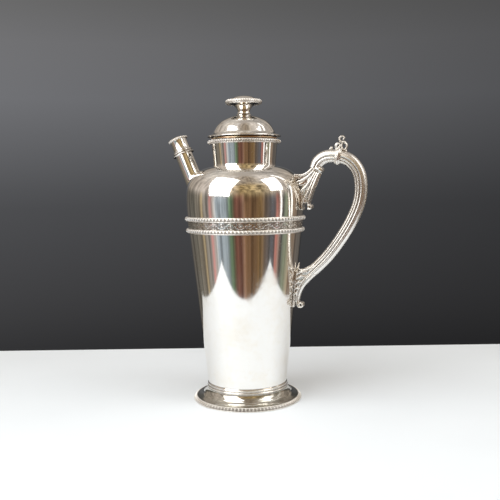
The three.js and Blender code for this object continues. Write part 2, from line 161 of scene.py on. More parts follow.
def turned(name, profile, segments=240, relief=None, place=None, wobble=0.0, darkest_depth=0.0):
    """A solid of revolution. relief(turn, i) pushes profile point i outwards, in millimetres.

    The profile closes on itself, or starts and ends on the axis. place moves the solid from
    its own axis to the vessel. wobble is the depth of the hand-worked wall's unevenness.
    Relief that sinks to the depth given last is darkened in full, with tarnish and painted shade in
    its hollows, kept as a point attribute.
    """
    place = place or Matrix.Translation((AXIS_X, 0, 0))
    pts = [Vector(p) for p in profile]
    count = len(pts)
    on_axis = [p.x < 1e-6 for p in pts]
    capped = on_axis[0] and on_axis[-1]
    normals = []
    for i in range(count):
        before = pts[i - 1] if i or not capped else pts[0]
        after = pts[(i + 1) % count] if i < count - 1 or not capped else pts[-1]
        run = after - before
        run = run.normalized() if run.length > 1e-9 else Vector((1, 0))
        normals.append(Vector((run.y, -run.x)))
    area = sum(a.x * b.y - b.x * a.y for a, b in zip(pts, pts[1:] + pts[:1]))
    outward = 1 if area > 0 else -1
    bm = bmesh.new()
    tarnish_and_shade = bm.verts.layers.float.new("tarnish_and_shade") if darkest_depth else None
    columns = []
    poles = {}
    for s in range(segments):
        turn = s / segments
        angle = 2 * math.pi * turn
        column = []
        for i, p in enumerate(pts):
            if on_axis[i]:
                if i not in poles:
                    poles[i] = bm.verts.new(place @ Vector((0, 0, p.y)))
                column.append(poles[i])
                continue
            push = relief(turn, i) if relief else 0.0
            if wobble:
                spot = Vector((math.cos(angle) * p.x, math.sin(angle) * p.x, p.y)) / 34.0
                push += wobble * noise.noise(spot)
            q = p + normals[i] * outward * push
            column.append(bm.verts.new(
                place @ Vector((q.x * math.cos(angle), q.x * math.sin(angle), q.y))))
            # the deeper the relief sinks, the darker: tarnish together with painted shade
            if darkest_depth:
                column[-1][tarnish_and_shade] = smoothstep(0.3, 1.0, -push / darkest_depth)
        columns.append(column)
    last = count - 1 if capped else count
    for s in range(segments):
        here, there = columns[s], columns[(s + 1) % segments]
        for i in range(last):
            j = (i + 1) % count
            corners = list(dict.fromkeys((here[i], there[i], there[j], here[j])))
            if len(corners) > 2:
                bm.faces.new(corners)
    return add_object(name, bm)


def mark_tarnish_and_shade(obj, passes, depth):
    """Stores how deep each point lies in a hollow, 0 to 1, as a point attribute that darkens the
    hollows with tarnish and painted shade.

    A point's depth is how far it lies below its surroundings after they are smoothed; depth is the
    depth, in millimetres, that counts as fully darkened.
    """
    mesh = obj.data
    count = len(mesh.vertices)

    def read(items, name, width, kind=float):
        values = np.empty(len(items) * width, dtype=kind)
        items.foreach_get(name, values)
        return values.reshape(-1, width)

    spots = read(mesh.vertices, "co", 3)
    normals = read(mesh.vertices, "normal", 3)
    edges = read(mesh.edges, "vertices", 2, np.int64)
    links = np.bincount(edges.ravel(), minlength=count).clip(1)
    smooth = spots.copy()
    for _ in range(passes):
        total = np.zeros_like(smooth)
        for k in range(3):
            total[:, k] = (np.bincount(edges[:, 0], smooth[edges[:, 1], k], count)
                           + np.bincount(edges[:, 1], smooth[edges[:, 0], k], count))
        smooth = 0.5 * smooth + 0.5 * total / links[:, None]
    below = ((smooth - spots) * normals).sum(axis=1) / MM
    tarnish_and_shade = np.clip(below / depth, 0, 1).astype(np.float32)
    layer = mesh.attributes.new("tarnish_and_shade", "FLOAT", "POINT")
    layer.data.foreach_set("value", tarnish_and_shade)


# ---- materials -----------------------------------------------------

class Graph:
    """A small helper that adds and links shader nodes in a node tree."""

    def __init__(self, tree):
        self.tree = tree

    def add(self, kind, **values):
        node = self.tree.nodes.new(kind)
        for key, value in values.items():
            if hasattr(node, key):
                setattr(node, key, value)
            else:
                node.inputs[key.replace("_", " ")].default_value = value
        return node

    def link(self, a, b):
        self.tree.links.new(a, b)

    def feed(self, socket, value):
        """Sets a socket to a number or a colour, or links it."""
        if isinstance(value, (int, float)):
            socket.default_value = value
        elif isinstance(value, tuple):
            socket.default_value = (*value, 1.0)
        else:
            self.link(value, socket)

    def math(self, operation, *values):
        node = self.add("ShaderNodeMath", operation=operation)
        for socket, value in zip(node.inputs, values):
            self.feed(socket, value)
        return node.outputs[0]

    def scaled(self, value, times, plus):
        return self.math("ADD", self.math("MULTIPLY", value, times), plus)

    def ramp(self, value, low, high):
        """0 below low and 1 above high, with a smooth step between them."""
        node = self.add("ShaderNodeMapRange", interpolation_type="SMOOTHSTEP")
        self.link(value, node.inputs["Value"])
        node.inputs["From Min"].default_value = low
        node.inputs["From Max"].default_value = high
        return node.outputs["Result"]

    def mix(self, fac, a, b, blend="MIX"):
        node = self.add("ShaderNodeMix", data_type="RGBA", blend_type=blend)
        for socket, value in ((node.inputs[0], fac), (node.inputs[6], a), (node.inputs[7], b)):
            self.feed(socket, value)
        return node.outputs[2]

    def vector(self, *values):
        """A vector, or a colour, of up to three values."""
        node = self.add("ShaderNodeCombineXYZ")
        for socket, value in zip(node.inputs, values):
            self.feed(socket, value)
        return node.outputs[0]


class Nodes(Graph):
    """The nodes of one material, round its Principled shader."""

    def __init__(self, name):
        self.material = bpy.data.materials.new(name)
        self.material.use_nodes = True
        super().__init__(self.material.node_tree)
        self.tree.nodes.clear()
        self.out = self.add("ShaderNodeOutputMaterial")
        self.shader = self.add("ShaderNodeBsdfPrincipled")
        self.link(self.shader.outputs["BSDF"], self.out.inputs["Surface"])

    def look(self, **inputs):
        """Sets or links inputs of the shader."""
        for key, value in inputs.items():
            self.feed(self.shader.inputs[key.replace("_", " ")], value)

    def noise(self, scale, detail=3.0, roughness=0.5, stretch=(1, 1, 1)):
        where = self.add("ShaderNodeTexCoord")
        mapping = self.add("ShaderNodeMapping")
        mapping.inputs["Scale"].default_value = stretch
        self.link(where.outputs["Object"], mapping.inputs["Vector"])
        node = self.add("ShaderNodeTexNoise", Scale=scale, Detail=detail, Roughness=roughness)
        self.link(mapping.outputs[0], node.inputs["Vector"])
        return node.outputs["Fac"]

    def bump(self, height, strength, distance):
        node = self.add("ShaderNodeBump", Strength=strength, Distance=distance)
        self.link(height, node.inputs["Height"])
        self.link(node.outputs[0], self.shader.inputs["Normal"])


CLEAN_SILVER = (0.94, 0.925, 0.90)
WARM_TARNISH = (0.82, 0.73, 0.58)
# dark brown for the hollows: tarnish together with painted shade
BROWN_TARNISH_AND_SHADE = (0.15, 0.115, 0.08)
COPPER_BLEED = (0.72, 0.42, 0.24)


def silver(name, roughness, tarnish, tarnish_and_shade_strength, scratch=0.02, clean=CLEAN_SILVER,
           stain=WARM_TARNISH):
    """Silver plate: blotched with thin warm tarnish, and darker and rougher in its hollows, with
    tarnish and painted shade.
    """
    n = Nodes(name)
    blotch = n.ramp(n.noise(26.0, 6.0, 0.62), 0.42, 0.72)
    fine = n.ramp(n.noise(210.0, 4.0, 0.6), 0.45, 0.75)
    film = n.math("MULTIPLY", n.math("ADD", blotch, n.math("MULTIPLY", fine, 0.35)), tarnish)
    tarnish_and_shade = n.add("ShaderNodeAttribute", attribute_name="tarnish_and_shade").outputs["Fac"]
    # the hollows darkened and roughened: tarnish together with painted shade
    hollow_darkening = n.math("MULTIPLY", n.math("POWER", tarnish_and_shade, 0.8), tarnish_and_shade_strength)
    colour = n.mix(film, clean, stain)
    colour = n.mix(hollow_darkening, colour, BROWN_TARNISH_AND_SHADE)
    rough = n.scaled(film, 0.22, roughness)
    rough = n.math("ADD", rough, n.math("MULTIPLY", hollow_darkening, 0.35))
    n.look(Metallic=1.0, Base_Color=colour, Roughness=rough)
    lines = n.noise(700.0, 3.0, 0.7, stretch=(1.0, 1.0, 0.12))
    n.bump(lines, scratch, 0.0002)
    return n.material


def copper_bleed(name):
    """Plate worn through to a golden-brown base metal."""
    n = Nodes(name)
    worn = n.ramp(n.noise(120.0, 5.0, 0.65), 0.38, 0.62)
    colour = n.mix(worn, COPPER_BLEED, (0.78, 0.66, 0.46))
    n.look(Metallic=1.0, Base_Color=colour, Roughness=n.scaled(worn, -0.12, 0.38))
    n.bump(n.noise(900.0, 3.0), 0.08, 0.0002)
    return n.material


def cork_material(name):
    n = Nodes(name)
    grain = n.ramp(n.noise(420.0, 6.0, 0.7), 0.35, 0.65)
    colour = n.mix(grain, (0.36, 0.22, 0.11), (0.62, 0.43, 0.25))
    n.look(Base_Color=colour, Roughness=n.scaled(grain, 0.1, 0.8))
    n.bump(grain, 0.4, 0.0004)
    return n.material


def table_material(name):
    n = Nodes(name)
    cloud = n.ramp(n.noise(4.0, 4.0), 0.3, 0.7)
    colour = n.mix(cloud, (0.77, 0.80, 0.83), (0.80, 0.83, 0.86))
    n.look(Base_Color=colour, Roughness=n.scaled(cloud, 0.06, 0.5), Specular_IOR_Level=0.25)
    return n.material


POLISHED = silver("polished_silver", 0.055, 0.30, 0.75)
# The foot dish: tarnished silver whose colour is darkened with painted shade, for the dark cloth
# that it mirrors.
DULL_AND_SHADED = silver("dulled_and_shaded_silver", 0.06, 0.75, 0.9, clean=(0.66, 0.64, 0.585),
              stain=(0.31, 0.29, 0.23))
FRIEZE = silver("frieze_silver", 0.11, 0.55, 0.95)
CHASED = silver("chased_silver", 0.38, 0.22, 0.9)
CAST = silver("cast_silver", 0.24, 0.28, 0.95, scratch=0.008)
WORN = copper_bleed("worn_plate")
CORK = cork_material("cork")


def coat(obj, material):
    """Gives a piece its material."""
    obj.data.materials.clear()
    obj.data.materials.append(material)


def wear(obj, material, slot, body, *nodes):
    """Coats a piece, hangs it on the body it rides on, and hides the CAD nodes it replaces."""
    coat(obj, material)
    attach(obj, body)
    if nodes:
        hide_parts(*nodes)
    return obj


def plate(obj, body, *nodes):
    return wear(obj, POLISHED, "silver_plate", body, *nodes)


def chased(obj, body, *nodes):
    return wear(obj, CHASED, "chased_silver", body, *nodes)


def cast(obj, *nodes):
    return wear(obj, CAST, "silver_plate", "vessel", *nodes)


# ---- struck ornament -----------------------------------------------

def tongue(phase, down):
    """Height of a row of hanging pointed tongues: phase runs along it, down is 0 to 1."""
    across = abs(phase % 1.0 - 0.5)
    half = 0.49 * max(0.0, 1 - down ** 1.7)
    if across >= half:
        return 0.0
    crown = math.sqrt(1 - (across / half) ** 2)
    return smoothstep(0.0, 0.14, half - across) * (0.5 + 0.5 * crown)


def egg(phase, down):
    """Height of egg and dart: an egg in a raised U-shaped rim, and a dart between two."""
    across = abs(phase % 1.0 - 0.5)
    tip = max(0.0, down - 0.35) / 0.65
    half = 0.44 * math.sqrt(max(0.0, 1 - tip * tip))
    rim = smoothstep(0.12, 0.0, abs(across - half + 0.07))
    inside = smoothstep(0.0, 0.16, half - 0.17 - across)
    dart = smoothstep(0.09, 0.0, 0.5 - across) * smoothstep(0.35, 0.9, down)
    return max(rim, 0.8 * inside, 0.7 * dart)


def struck_ring(name, inner, outer, z, height, repeats, ornament, depth, segments=1400,
                skew=0.0):
    """A ring of wire with a struck row of ornament round its outer face."""
    rows = 18
    top_of_row, row_height = 0.86, 0.60
    groove_at = 0.18
    middle = inner + (outer - inner) * 0.35
    section = [(inner, z - height / 2)]
    section += arc((middle, z), (outer - middle, height / 2), -90, 90, rows)
    section += [(inner, z + height / 2)]
    count = len(section)

    def relief(turn, i):
        if not 0 < i < count - 1:
            return 0.0
        around = (i - 1) / rows
        down = (top_of_row - around) / row_height
        if not 0.0 <= down <= 1.0:
            return -depth * 0.7 * smoothstep(0.06, 0.0, abs(around - groove_at))
        edge = smoothstep(0.0, 0.1, down)
        return -depth * (1 - ornament(turn * repeats + skew * down, down)) * edge

    return turned(name, section, segments=segments, relief=relief, darkest_depth=1.45 * depth)


# ---- vessel: body, shoulder, neck ----------------------------------

band_foot_z = LOWER_WIRE_Z + 1.9
band_top_z = UPPER_WIRE_Z - 1.9


def make_body_wall():
    outer = [(body_radius(z), z) for z in np.linspace(BODY_FOOT_Z, band_foot_z, 60)]
    outer[0] = (outer[0][0] - 0.35, outer[0][1])
    outer.insert(1, (outer[1][0] - 0.3 + 0.18, BODY_FOOT_Z + 0.4))
    return turned("body_wall", inwards(outer, WALL), segments=320, wobble=0.09)


SHOULDER_LINE = spline([
    (59.0, 193.0), (SHOULDER_RADIUS, 203.0), (58.4, 212.8), (56.3, 219.6), (52.6, 225.6),
    (47.5, 230.0), (41.5, 233.2), (36.0, 234.9), (31.9, NECK_FOOT_Z)], per=8)


def make_shoulder():
    line = [(58.0, band_top_z), (58.6, 187.0)] + SHOULDER_LINE
    return turned("shoulder", inwards(line, WALL), segments=320, wobble=0.10)


def make_neck():
    line = [(31.7, NECK_FOOT_Z - 0.4)]
    line += spline([(31.6, NECK_FOOT_Z + 0.3), (31.5, 238.5), (31.8, 243.0), (32.4, 250.0),
                    (33.1, 258.0), (NECK_TOP_RADIUS, NECK_TOP_Z)], per=7)
    return turned("neck", inwards(line, 1.0), segments=256, wobble=0.05)


plate(make_body_wall(), "vessel", "tapered_body")
plate(make_shoulder(), "vessel", "shoulder_shell")
plate(make_neck(), "vessel", "neck_tube")
chased(struck_ring("neck_rim", NECK_TOP_RADIUS + 0.1, 36.7, 259.6, 4.0,
                   NECK_RIM_TONGUES, tongue, 0.75, segments=1248, skew=0.5),
       "vessel", "neck_rim_wire")
chased(struck_ring("upper_wire", 58.1, 60.7, UPPER_WIRE_Z, BAND_WIRE_HEIGHT,
                   BAND_WIRE_TONGUES, tongue, 0.85), "vessel", "upper_band_wire")
chased(struck_ring("lower_wire", 57.1, 59.7, LOWER_WIRE_Z, BAND_WIRE_HEIGHT,
                   BAND_WIRE_TONGUES, tongue, 0.65), "vessel", "lower_band_wire")

# ---- vessel: the chased frieze between the band wires --------------

def scrollwork(turn, up):
    """Height of the frieze's running scroll: a wavy stem with a volute and leaves in each bay."""
    bay = turn * FRIEZE_BAYS
    side = 1 if int(bay) % 2 else -1
    x = (bay % 1.0 - 0.5) * 9.0
    y = up * 3.6
    stem = smoothstep(0.55, 0.15, abs(y - side * -2.3 * math.cos(math.pi * x / 9.0)))
    cy = side * 0.9
    r = math.hypot(x, y - cy)
    angle = math.atan2(y - cy, x * side)
    coil = (r - 0.42 * (angle + math.pi) / math.pi) % 0.95
    volute = smoothstep(0.32, 0.08, abs(coil - 0.47)) * smoothstep(2.4, 1.9, r)
    petals = smoothstep(0.25, 0.0, abs(r - 2.9) - 0.35 - 0.3 * math.cos(7 * angle))
    leaf_x = abs(x) - 3.6
    leaf = smoothstep(0.9, 0.3, math.hypot(leaf_x * 0.8, y + side * 1.3))
    veins = 0.35 * math.cos(9.0 * leaf_x + 6 * y)
    return max(stem, volute, 0.8 * petals * (abs(y) < 3.4), leaf * (0.65 + veins))


def make_frieze():
    rows = 26
    outer_z = np.linspace(band_foot_z + 0.1, band_top_z - 0.1, rows + 1)
    outer = [(body_radius(z) - 0.05, z) for z in outer_z]
    profile = inwards(outer, WALL)

    def relief(turn, i):
        if i > rows:
            return 0.0
        up = 2 * i / rows - 1
        return 0.16 * scrollwork(turn, up) - 0.10

    return turned("frieze", profile, segments=1500, relief=relief, darkest_depth=0.13)


wear(make_frieze(), FRIEZE, "chased_silver", "vessel", "frieze_band")

# ---- vessel: foot --------------------------------------------------


def make_foot_border():
    depth = 0.75
    section = [(51.6, 0.0), (54.6, 0.0)]
    section += arc((54.6, 0.7), 0.7, -80, 20, 4)
    slope = spline([(55.2, 1.1), (54.6, 2.4), (53.4, 3.4), (52.2, 3.85)], per=5)
    section += slope + [(51.6, 3.6)]
    first = len(section) - len(slope) - 1
    rows = len(slope) - 1

    def relief(turn, i):
        if not first <= i <= first + rows:
            return 0.0
        down = 1 - (i - first) / rows
        edges = smoothstep(0.0, 0.12, down) * smoothstep(1.0, 0.9, down)
        return -depth * (1 - egg(turn * FOOT_BORDER_EGGS, down)) * edges

    return turned("foot_border", section, segments=1520, relief=relief, darkest_depth=0.62)


def make_foot_plate():
    line = spline([(51.6, 3.9), (50.0, 4.15), (48.0, 4.65), (46.0, 5.5), (44.5, 6.7),
                   (43.7, 7.7)], per=6)
    line += spline([(43.4, 7.95), (42.4, 9.2), (41.6, 10.6), (41.1, 12.0), (41.0, 12.7)], per=6)
    obj = turned("foot_dish", inwards(line, 1.0), segments=256, wobble=0.12)
    mark_tarnish_and_shade(obj, passes=8, depth=0.8)
    return obj


def moulding(name, outer, z, height):
    """A turned half-round ring with a flat lip below it."""
    section = [(38.0, z - height / 2), (outer - 0.7, z - height / 2)]
    section += arc((outer - 1.0, z + 0.1), (1.0, height / 2 - 0.1), -80, 90, 14)
    section += [(38.0, z + height / 2)]
    obj = turned(name, section, segments=240, wobble=0.05)
    mark_tarnish_and_shade(obj, passes=8, depth=0.2)
    return obj


chased(make_foot_border(), "vessel", "foot_border_wire")
wear(make_foot_plate(), DULL_AND_SHADED, "silver_plate", "vessel", "foot_plate")
plate(moulding("foot_ring_lower", 41.3, 13.9, 2.3), "vessel", "foot_lower_ring")
plate(moulding("foot_ring_upper", 40.9, 16.4, 2.3), "vessel", "foot_upper_ring")
plate(turned("foot_ring_groove", [(37.0, 17.4), (38.9, 17.4), (39.1, 18.3), (38.7, 19.9),
                                  (37.0, 19.9)], segments=200), "vessel", "foot_groove_ring")
wear(turned("base_dome", [(0, 23.0), *spline([(8, 22.9), (22, 22.2), (32, 21.2), (38.7, 20.4)], 5),
                          (38.7, 21.6), *spline([(32, 22.4), (22, 23.4), (8, 24.1)], 5), (0, 24.2)],
            segments=160), WORN, "inner_plate", "vessel", "base_disc")

# ---- spout and its cap ---------------------------------------------

SPOUT_PLACE = (Matrix.Translation((AXIS_X + SPOUT_FOOT[0], 0, SPOUT_FOOT[1]))
               @ Euler((0, -SPOUT_TILT, 0)).to_matrix().to_4x4())


def make_spout_pipe():
    """The tube, with its foot drawn to the shoulder by a small solder fillet."""
    rows = 44
    segments = 96
    skin = [Vector(p) for p in SHOULDER_LINE]

    def above_skin(p):
        """Distance from the shoulder's surface, positive outside."""
        r = math.hypot(p.x - AXIS_X, p.y)
        spot = Vector((r, p.z))
        near = min(range(1, len(skin) - 1), key=lambda k: (skin[k] - spot).length_squared)
        run = (skin[near + 1] - skin[near - 1]).normalized()
        return (spot - skin[near]).dot(Vector((run.y, -run.x)))

    bm = bmesh.new()
    outer, inner = [], []
    for s in range(segments):
        angle = 2 * math.pi * s / segments
        out = Vector((math.cos(angle), math.sin(angle), 0))
        low, high = -24.0, 30.0
        for _ in range(24):
            mid = (low + high) / 2
            if above_skin(SPOUT_PLACE @ (out * (SPOUT_RADIUS - 0.1) + Vector((0, 0, mid)))) > 0:
                high = mid
            else:
                low = mid
        foot = high
        line = []
        for k in range(rows + 1):
            t = k / rows
            along = foot + (SPOUT_LENGTH - foot) * t ** 1.6
            fillet = 1.5 * math.exp(-(along - foot) / 1.3)
            radius = SPOUT_RADIUS - 0.3 * max(along, 0) / SPOUT_LENGTH + fillet
            line.append(bm.verts.new(SPOUT_PLACE @ (out * radius + Vector((0, 0, along)))))
        outer.append(line)
        inner.append([bm.verts.new(SPOUT_PLACE @ (out * SPOUT_BORE + Vector((0, 0, along))))
                      for along in (SPOUT_LENGTH, 20.0, foot + 0.3)])
    for s in range(segments):
        here = outer[s] + inner[s]
        there = outer[(s + 1) % segments] + inner[(s + 1) % segments]
        for i in range(len(here)):
            j = (i + 1) % len(here)
            bm.faces.new((here[i], there[i], there[j], here[j]))
    return add_object("spout_pipe", bm)


def spout_turned(name, profile, segments=128):
    return turned(name, profile, segments=segments, place=SPOUT_PLACE)


plate(make_spout_pipe(), "vessel", "spout_tube")
plate(spout_turned("spout_lip", [
    (7.5, 30.5), (7.5, 34.4), (6.1, 35.6), (6.0, 47.6), *arc((5.55, 47.6), 0.45, 0, 180, 6),
    (5.1, 35.0), (6.6, 33.6), (6.6, 30.5)]), "vessel", "spout_nozzle")
plate(spout_turned("spout_flange", [
    (7.7, 34.0), (9.2, 34.1), (10.4, 34.3), *arc((10.6, 34.95), (0.6, 0.62), -80, 80, 8),
    (10.2, 35.6), (9.2, 35.8), (7.7, 35.9)]), "vessel", "spout_collar")

plate(spout_turned("cap_ring", [
    (8.6, 36.4), (8.8, 36.4), *arc((8.8, 37.7), (1.15, 1.1), -80, 80, 10), (8.6, 39.0)]),
    "cap", "cap_lower_ring")
plate(spout_turned("cap_sleeve", [
    (8.55, 36.5), (8.55, 38.9), (8.75, 39.4), (8.55, 39.9), (8.35, 48.4), (8.5, 49.2),
    (8.5, 49.8), (7.5, 49.8), (7.6, 36.5)]), "cap", "cap_skirt")
plate(spout_turned("cap_crown", [
    (0, 49.9), (8.4, 49.9), (8.5, 51.6),
    *spline([(8.2, 52.1), (6.8, 52.9), (4.4, 53.7), (1.6, 54.15)], 5), (0, 54.2)]),
    "cap", "cap_top")


def make_cap_rim():
    section = [(8.5, 49.9), *arc((9.1, 50.95), (1.2, 1.05), -90, 90, 12), (8.5, 52.0)]

    def relief(turn, i):
        if not 2 < i < 12:
            return 0.0
        return -0.3 * abs(math.sin(math.pi * turn * CAP_RIM_NOTCHES)) ** 6

    obj = turned("cap_rim", section, segments=544, relief=relief, place=SPOUT_PLACE)
    mark_tarnish_and_shade(obj, passes=6, depth=0.12)
    return obj


chased(make_cap_rim(), "cap", "cap_rim_wire")

# ---- lid -----------------------------------------------------------


def make_lid_dome():
    line = [(35.5, 264.5), *arc((36.1, 265.15), 0.65, -80, 60, 8)]
    line += spline([(36.25, 265.8), (34.9, 266.35), (33.4, 267.0), (32.2, 267.8),
                    (31.5, 268.6)], per=5)
    line += spline([(31.35, 268.7), (30.8, 269.7), (29.6, 271.9), (27.9, 274.8),
                    (25.7, 277.6), (21.9, 280.6), (15.3, 283.7), (8.0, 285.6),
                    (3.0, 286.2)], per=6)[1:]
    obj = turned("dome", inwards(line, 1.0), segments=288, wobble=0.06)
    mark_tarnish_and_shade(obj, passes=30, depth=0.5)
    return obj


plate(make_lid_dome(), "lid", "lid_dome")
wear(turned("plug_ring", [
    (32.4, 263.6), (32.4, 262.4), (31.4, 261.6), (30.3, 250.0), (29.6, 245.0),
    *arc((29.05, 244.9), 0.5, 0, -180, 6), (29.6, 263.6)], segments=200),
    WORN, "inner_plate", "lid_plug", "lid_bezel")

plate(turned("knob_neck", [
    (2.3, 286.0), (7.6, 286.0), (7.6, 286.5),
    *spline([(7.2, 286.9), (6.4, 287.6), (6.1, 288.9), (6.2, 290.3), (6.7, 291.7),
             (7.5, 293.1), (8.6, 294.6), (10.2, 295.9)], 6), (2.3, 295.95)], segments=128),
    "lid", "knob_stem")
plate(turned("knob_saucer", [
    (2.3, 296.0), *spline([(9.3, 296.0), (12.4, 296.5), (16.2, 297.7)], 6),
    (16.2, 298.6), (9.0, 297.2), (2.3, 297.2)], segments=160), "lid", "knob_underplate")
plate(turned("knob_top", [
    (0, 303.8), (8.5, 302.8), (16.1, 299.1),
    *spline([(16.1, 300.7), (14.6, 301.5), (12.6, 302.3), (9.5, 303.7), (5.6, 304.7),
             (2.0, 305.0)], 6), (0, 305.0)], segments=160), "lid", "knob_crown")


def make_knob_rim():
    section = [(16.2, 296.9), *arc((17.0, 299.0), (1.3, 2.1), -90, 90, 20), (16.2, 301.2)]

    def relief(turn, i):
        if not 9 < i < 19:
            return 0.0
        down = 1 - (i - 9) / 10
        return -0.28 * (1 - tongue(turn * KNOB_RIM_TONGUES, down))

    obj = turned("knob_rim", section, segments=896, relief=relief)
    mark_tarnish_and_shade(obj, passes=10, depth=0.12)
    return obj


chased(make_knob_rim(), "lid", "knob_rim_wire")
for hidden in ("knob_stud", "knob_washer", "knob_nut"):
    coat(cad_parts[hidden], WORN)
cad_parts["cap_cork_sleeve"].data.materials.clear()
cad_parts["cap_cork_sleeve"].data.materials.append(CORK)

# ---- handle --------------------------------------------------------

HANDLE_LINE = spline([
    (71.6, 231.6), (75.6, 238.4), (81.4, 242.3), (88.0, 243.5), (97.0, 242.6), (105.2, 239.4),
    (111.6, 232.9), (115.6, 224.2), (116.8, 211.5), (114.6, 197.6), (108.4, 182.6),
    (100.6, 169.0), (92.2, 156.8), (83.8, 146.2), (75.6, 137.8), (67.5, 130.4)], per=14)


# The bar's section runs from the inside of the loop (-1) to the outside (+1), with reeds
# that meet in grooves: (middle, depth in millimetres).
GROOVES = ((-0.52, 0.75), (-0.04, 0.80), (0.46, 0.20))


def bar_half_width(q, half_depth):
    """Half the bar's width across the loop's plane, at q from its middle line (outer +)."""
    u = min(max(q / half_depth, -1.0), 1.0)
    width = BAR_HALF_WIDTH * (1 - abs(u) ** 3.2) ** 0.5
    for middle, depth in GROOVES:
        away = abs(u - middle)
        width -= depth * (0.5 * smoothstep(0.22, 0.0, away) + 0.5 * smoothstep(0.11, 0.0, away))
    return max(width, 0.2)


def make_bar():
    side = 110
    line = [Vector(p) for p in HANDLE_LINE]
    bm = bmesh.new()
    tarnish_and_shade = bm.verts.layers.float.new("tarnish_and_shade")
    rings = []
    for k, p in enumerate(line):
        run = (line[min(k + 1, len(line) - 1)] - line[max(k - 1, 0)]).normalized()
        outer = Vector((-run.y, run.x))
        done = k / (len(line) - 1)
        half = BAR_HALF_DEPTH + 0.25 * math.sin(math.pi * min(done * 1.6, 1.0)) - 0.5 * done ** 4
        half -= 0.9 * smoothstep(0.06, 0.0, done)
        upper, lower = [], []
        for i in range(side + 1):
            u = -math.cos(math.pi * i / side) * 0.6 + (2 * i / side - 1) * 0.4
            q = u * half * 0.999
            w = bar_half_width(q, half) if 0 < i < side else 0.0
            x, z = p + outer * q
            upper.append(bm.verts.new((AXIS_X + x, w, z)))
            if 0 < i < side:
                lower.append(bm.verts.new((AXIS_X + x, -w, z)))
            # the grooves darkened: tarnish together with painted shade
            bar_tarnish_and_shade = max(depth * smoothstep(0.13, 0.02, abs(u - middle)) for middle, depth in GROOVES)
            # painted shade with some tarnish: the bar's outer side darker along the upper part of
            # the loop
            bar_tarnish_and_shade = max(bar_tarnish_and_shade, 0.22 * smoothstep(0.30, 0.75, u) * smoothstep(0.75, 0.4, done))
            for vertex in (upper[-1], *lower[-1:]):
                vertex[tarnish_and_shade] = bar_tarnish_and_shade
        rings.append(upper + lower[::-1])
    count = len(rings[0])
    for a, b in zip(rings, rings[1:]):
        for i in range(count):
            j = (i + 1) % count
            bm.faces.new((a[i], b[i], b[j], a[j]))
    bm.faces.new(rings[0])
    bm.faces.new(rings[-1])
    return add_object("grip", bm, sharp_degrees=170)


def value_along(value, done):
    """A number as it is, or a list's value at done (0 to 1) of the way along it."""
    if isinstance(value, (list, tuple)):
        return np.interp(done, np.linspace(0, 1, len(value)), value)
    return value


class Casting:
    """A cast ornament: swept strokes that run into each other, fused into one skin."""

    SIDES = 16

    def __init__(self, name):
        self.name = name
        self.bm = bmesh.new()

    def stroke(self, path, thick, wide, per=6, power=2.0):
        """Sweeps an oval along (x, z) or (x, z, y) points of the handle's plane.

        thick is the half-size in the plane and wide across it; either can be a list that
        the stroke runs through from end to end.
        """
        pts = [Vector((p[0], p[2] if len(p) > 2 else 0.0, p[1])) for p in path]
        line = [Vector(p) for p in spline([tuple(p) for p in pts], per)]
        last = len(line) - 1
        rings = []
        for k, p in enumerate(line):
            run = (line[min(k + 1, last)] - line[max(k - 1, 0)]).normalized()
            normal = Vector((-run.z, 0, run.x))
            normal = normal.normalized() if normal.length > 1e-6 else Vector((1, 0, 0))
            across = run.cross(normal)
            a, b = value_along(thick, k / last), value_along(wide, k / last)
            ring = []
            for s in range(self.SIDES):
                angle = 2 * math.pi * s / self.SIDES
                c, d = math.cos(angle), math.sin(angle)
                c = math.copysign(abs(c) ** (2 / power), c)
                d = math.copysign(abs(d) ** (2 / power), d)
                q = p + normal * (a * c) + across * (b * d)
                ring.append(self.bm.verts.new((q.x + AXIS_X, q.y, q.z)))
            rings.append(ring)
        for r, t in zip(rings, rings[1:]):
            for s in range(self.SIDES):
                n = (s + 1) % self.SIDES
                self.bm.faces.new((r[s], t[s], t[n], r[n]))
        self.bm.faces.new(rings[0])
        self.bm.faces.new(rings[-1])

    def both_sides(self, path, thick, wide, **options):
        for side in (1, -1):
            self.stroke([(x, z, side * y) for x, z, y in path], thick, wide, **options)

    def ball(self, x, z, radius, y=0.0, wide=None):
        wide = wide or radius
        place = Matrix.Translation((x + AXIS_X, y, z)) @ Matrix.Diagonal((radius, wide, radius, 1))
        bmesh.ops.create_uvsphere(self.bm, u_segments=16, v_segments=10, radius=1, matrix=place)

    def fuse(self, voxel=0.3, rounds=3):
        bmesh.ops.recalc_face_normals(self.bm, faces=self.bm.faces)
        raw = add_object(self.name + "_raw", self.bm)
        remesh = raw.modifiers.new("fuse", "REMESH")
        remesh.mode = "VOXEL"
        remesh.voxel_size = voxel * MM
        smooth = raw.modifiers.new("soften", "SMOOTH")
        smooth.factor = 0.5
        smooth.iterations = rounds
        graph = bpy.context.evaluated_depsgraph_get()
        mesh = bpy.data.meshes.new_from_object(raw.evaluated_get(graph))
        mesh.name = self.name
        bpy.data.objects.remove(raw)
        for polygon in mesh.polygons:
            polygon.use_smooth = True
        obj = bpy.data.objects.new(self.name, mesh)
        bpy.context.scene.collection.objects.link(obj)
        mark_tarnish_and_shade(obj, passes=14, depth=0.28)
        return obj


def spiral(centre, start_radius, end_radius, start_degrees, turns, steps=14):
    """Points of a spiral that winds in (or out) round a centre, in the handle's plane."""
    out = []
    for i in range(steps + 1):
        t = i / steps
        r = start_radius + (end_radius - start_radius) * t
        a = math.radians(start_degrees) + 2 * math.pi * turns * t
        out.append((centre[0] + r * math.cos(a), centre[1] + r * math.sin(a)))
    return out


